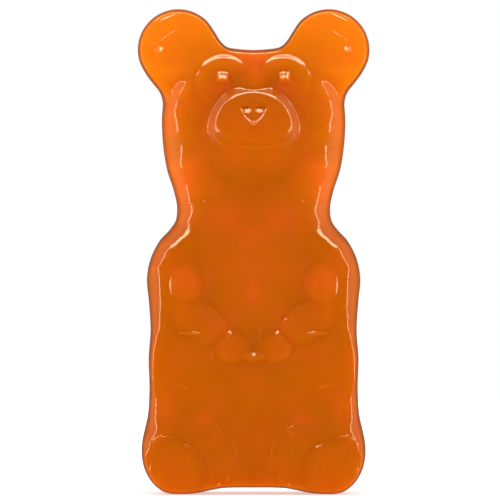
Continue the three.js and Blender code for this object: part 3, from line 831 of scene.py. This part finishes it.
def thickness_ramp(nodes, links):
    """The gel's colour at each thickness, as a ramp with evenly spaced stops."""
    ramp = nodes.new("ShaderNodeValToRGB")
    stops = ramp.color_ramp.elements
    while len(stops) < RAMP_STOPS:
        stops.new(0.5)
    for k, stop in enumerate(stops):
        stop.position = k / (RAMP_STOPS - 1)
        stop.color = (*gel_colour(stop.position * THICKEST), 1)
    links.new(calculate(nodes, links, "DIVIDE", stored(nodes, "thickness"), THICKEST), ramp.inputs["Fac"])
    return ramp.outputs["Color"]


def gel_material(name):
    """Principled gel: a ramp over thickness, redder and pinker where painted sheen lies, with a slightly
    uneven gloss.
    """
    material = bpy.data.materials.new(name)
    material.use_nodes = True
    nodes, links = material.node_tree.nodes, material.node_tree.links
    shader = nodes["Principled BSDF"]
    shader.inputs["IOR"].default_value = GEL_IOR
    shader.inputs["Subsurface Weight"].default_value = 1.0
    shader.inputs["Subsurface Radius"].default_value = GLOW_RADIUS
    shader.inputs["Subsurface Scale"].default_value = GLOW_SCALE
    patches = mirrored_noise(nodes, links, SHEEN_AND_STAIN_GRAIN)
    broken = calculate(nodes, links, "MULTIPLY_ADD", patches, SHEEN_BREAK, 1 - SHEEN_BREAK / 2)
    painted_sheen = calculate(nodes, links, "MULTIPLY", stored(nodes, "painted_sheen"), broken)
    stain = calculate(nodes, links, "MULTIPLY_ADD", patches, STAIN, -STAIN / 2)
    redder = calculate(nodes, links, "ADD", painted_sheen, stain)
    gain = calculate(nodes, links, "MULTIPLY_ADD", redder, SHEEN_AND_STAIN_GAIN, (1, 1, 1), kind="VectorMath")
    colour = calculate(nodes, links, "MULTIPLY", thickness_ramp(nodes, links), gain, kind="VectorMath")
    links.new(colour, shader.inputs["Base Color"])
    wet = mirrored_noise(nodes, links, GLOSS_GRAIN)
    links.new(calculate(nodes, links, "MULTIPLY_ADD", wet, *GLOSS), shader.inputs["Roughness"])
    return material


mesh.materials.append(gel_material("orange_gel"))
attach(bear, "root")
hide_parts(BEAR_NODE)
for thickness in (0.01, THICKEST):
    print(f"{thickness * 1000:.0f} mm of gel gives back", gel_colour(thickness).round(3).tolist())

# %% [markdown]
# ## The table and the light
# The bear stands on a plain white sheet. Bright surroundings behind and beside a glossy thing draw its
# edges, and a dark room in front keeps its colour deep, so the world is bright behind the bear and dark
# on the viewer's side. An arch of narrow lamps stands round the bear, square to the view. It shows only
# where the skin leans by 45 degrees, and there it draws the thin white lines.

# %% A white sheet under the feet
STAGE_SIZE = 6.0
FLOOR_GAP = 0.0002
PAPER_WHITE = 0.85
PAPER_GLOW = 0.48


def paper_material(name):
    """White paper with a little light of its own, as if lit from below through a frosted table."""
    material = bpy.data.materials.new(name)
    material.use_nodes = True
    shader = material.node_tree.nodes["Principled BSDF"]
    shader.inputs["Base Color"].default_value = (PAPER_WHITE, PAPER_WHITE, PAPER_WHITE, 1)
    shader.inputs["Roughness"].default_value = 0.9
    shader.inputs["Specular IOR Level"].default_value = 0.1
    shader.inputs["Emission Color"].default_value = (1, 1, 1, 1)
    shader.inputs["Emission Strength"].default_value = PAPER_GLOW
    return material


def make_floor():
    """One square on the ground, a hair below the soles."""
    half_side = STAGE_SIZE / 2
    corners = [(x * half_side, y * half_side, 0) for x, y in ((-1, -1), (1, -1), (1, 1), (-1, 1))]
    floor_mesh = bpy.data.meshes.new("table_top")
    floor_mesh.from_pydata(corners, [], [(0, 1, 2, 3)])
    floor_mesh.materials.append(paper_material("white_paper"))
    floor = bpy.data.objects.new("table_top", floor_mesh)
    floor.location.z = -FLOOR_GAP
    bpy.context.scene.collection.objects.link(floor)
    return floor


floor = make_floor()
floor.visible_glossy = False
print("the table is", STAGE_SIZE, "m wide")

# %% The room: an even white for everything but gloss
ROOM_WHITE = 1.0
VEIL, VEIL_BEHIND = 1.3, 0.2
VEIL_COLOUR = (1.0, 0.42, 0.33)  # the tent is lined in a warm colour, which only gloss shows
VEIL_EDGE = (-0.08, 0.12)  # Y of a direction: gloss sees black before the first, the veil past the second
VEIL_DIM = (0.35, 0.8)  # from here to here, straight behind, the veil grows dimmer
VEIL_FLOOR = (-0.75, -0.3)  # and Z of a direction, from black below to the full veil above


def smooth_mask(nodes, links, source, edges, top=1.0, start=0.0):
    """A smooth step of one coordinate, from `start` at the first edge to `top` at the second."""
    mask = nodes.new("ShaderNodeMapRange")
    mask.interpolation_type = "SMOOTHSTEP"
    mask.inputs["From Min"].default_value, mask.inputs["From Max"].default_value = edges
    mask.inputs["To Min"].default_value = start
    mask.inputs["To Max"].default_value = top
    links.new(source, mask.inputs["Value"])
    return mask.outputs[0]


def make_room():
    """Even white light; but a reflection is warm beside and above, and dark in front and below."""
    world = bpy.data.worlds.new("light_tent")
    bpy.context.scene.world = world
    world.use_nodes = True
    nodes, links = world.node_tree.nodes, world.node_tree.links
    nodes.clear()
    direction, split = nodes.new("ShaderNodeTexCoord"), nodes.new("ShaderNodeSeparateXYZ")
    links.new(direction.outputs["Generated"], split.inputs[0])
    ahead = smooth_mask(nodes, links, split.outputs["Y"], VEIL_EDGE, VEIL)
    behind = smooth_mask(nodes, links, split.outputs["Y"], VEIL_DIM, VEIL_BEHIND / VEIL, start=1.0)
    above = smooth_mask(nodes, links, split.outputs["Z"], VEIL_FLOOR)
    veil = calculate(nodes, links, "MULTIPLY", calculate(nodes, links, "MULTIPLY", ahead, behind), above)
    room, lining = nodes.new("ShaderNodeBackground"), nodes.new("ShaderNodeBackground")
    room.inputs["Color"].default_value = (1, 1, 1, 1)
    room.inputs["Strength"].default_value = ROOM_WHITE
    lining.inputs["Color"].default_value = (*VEIL_COLOUR, 1)
    links.new(veil, lining.inputs["Strength"])
    path, seen = nodes.new("ShaderNodeLightPath"), nodes.new("ShaderNodeMixShader")
    links.new(path.outputs["Is Glossy Ray"], seen.inputs[0])
    links.new(room.outputs[0], seen.inputs[1])
    links.new(lining.outputs[0], seen.inputs[2])
    links.new(seen.outputs[0], nodes.new("ShaderNodeOutputWorld").inputs["Surface"])


make_room()
print("the room is white, and its lining shows in reflections alone")

# %% Thin strips of light at the mouth of the tent
LAMP_COLOUR = (1.0, 0.84, 0.56)
ARCH_CENTRE, ARCH_RADIUS = Vector((0, -0.01, 0.12)), 1.3
ARCH_PIECES, ARCH_RANGE = 9, (-12, 192)
ARCH_WIDTH, TOP_WIDTH, TOP_REACH = 0.10, 0.24, 35
SIDE_RADIANCE, TOP_RADIANCE = 8.0, 14.0


def strip_light(name, turn, length, width, radiance):
    """One straight piece of the arch, square to its radius; its power is pi times area times radiance."""
    light = bpy.data.lights.new(name, "AREA")
    light.shape = "RECTANGLE"
    light.size, light.size_y = width, length
    light.energy = math.pi * length * width * radiance
    light.color = LAMP_COLOUR
    strip = bpy.data.objects.new(name, light)
    outward = Vector((math.cos(turn), 0, math.sin(turn)))
    along = Vector((-math.sin(turn), 0, math.cos(turn)))
    axes = Matrix((along.cross(outward), along, outward)).transposed().to_4x4()
    strip.matrix_world = Matrix.Translation(ARCH_CENTRE + ARCH_RADIUS * outward) @ axes
    strip.visible_diffuse = False
    bpy.context.scene.collection.objects.link(strip)
    return strip


piece_angle = math.radians((ARCH_RANGE[1] - ARCH_RANGE[0]) / ARCH_PIECES)
for k in range(ARCH_PIECES):
    turn = math.radians(ARCH_RANGE[0]) + piece_angle * (k + 0.5)
    on_top = abs(math.degrees(turn) - 90) < TOP_REACH
    strip_light(f"arch_{k}", turn, 2 * ARCH_RADIUS * math.tan(piece_angle / 2),
                TOP_WIDTH if on_top else ARCH_WIDTH, TOP_RADIANCE if on_top else SIDE_RADIANCE)
print("an arch of", ARCH_PIECES, "lamps stands round the bear")

# %% [markdown]
# ## The camera
# The camera looks straight at the face from half the bear's height, with a long lens, so that the sides
# of the head stay hidden and the outline is the mould's parting line.

# %% A long lens at half height
CAMERA_DISTANCE = 5.0
FRAME_WIDTH = 0.250  # what the view spans in the parting plane
FRAME_CENTRE = (-0.0018, 0.12115)
SENSOR = 36.0

camera_data = bpy.data.cameras.new("camera")
camera_data.sensor_width = SENSOR
camera_data.lens = SENSOR * (CAMERA_DISTANCE + PARTING_Y * MM) / FRAME_WIDTH
camera = bpy.data.objects.new("camera", camera_data)
camera.location = (FRAME_CENTRE[0], -CAMERA_DISTANCE, FRAME_CENTRE[1])
camera.rotation_euler = (math.radians(90), 0, 0)
bpy.context.scene.collection.objects.link(camera)
bpy.context.scene.camera = camera
bpy.context.scene.view_settings.view_transform = "Standard"
print(f"a {camera_data.lens:.0f} mm lens")
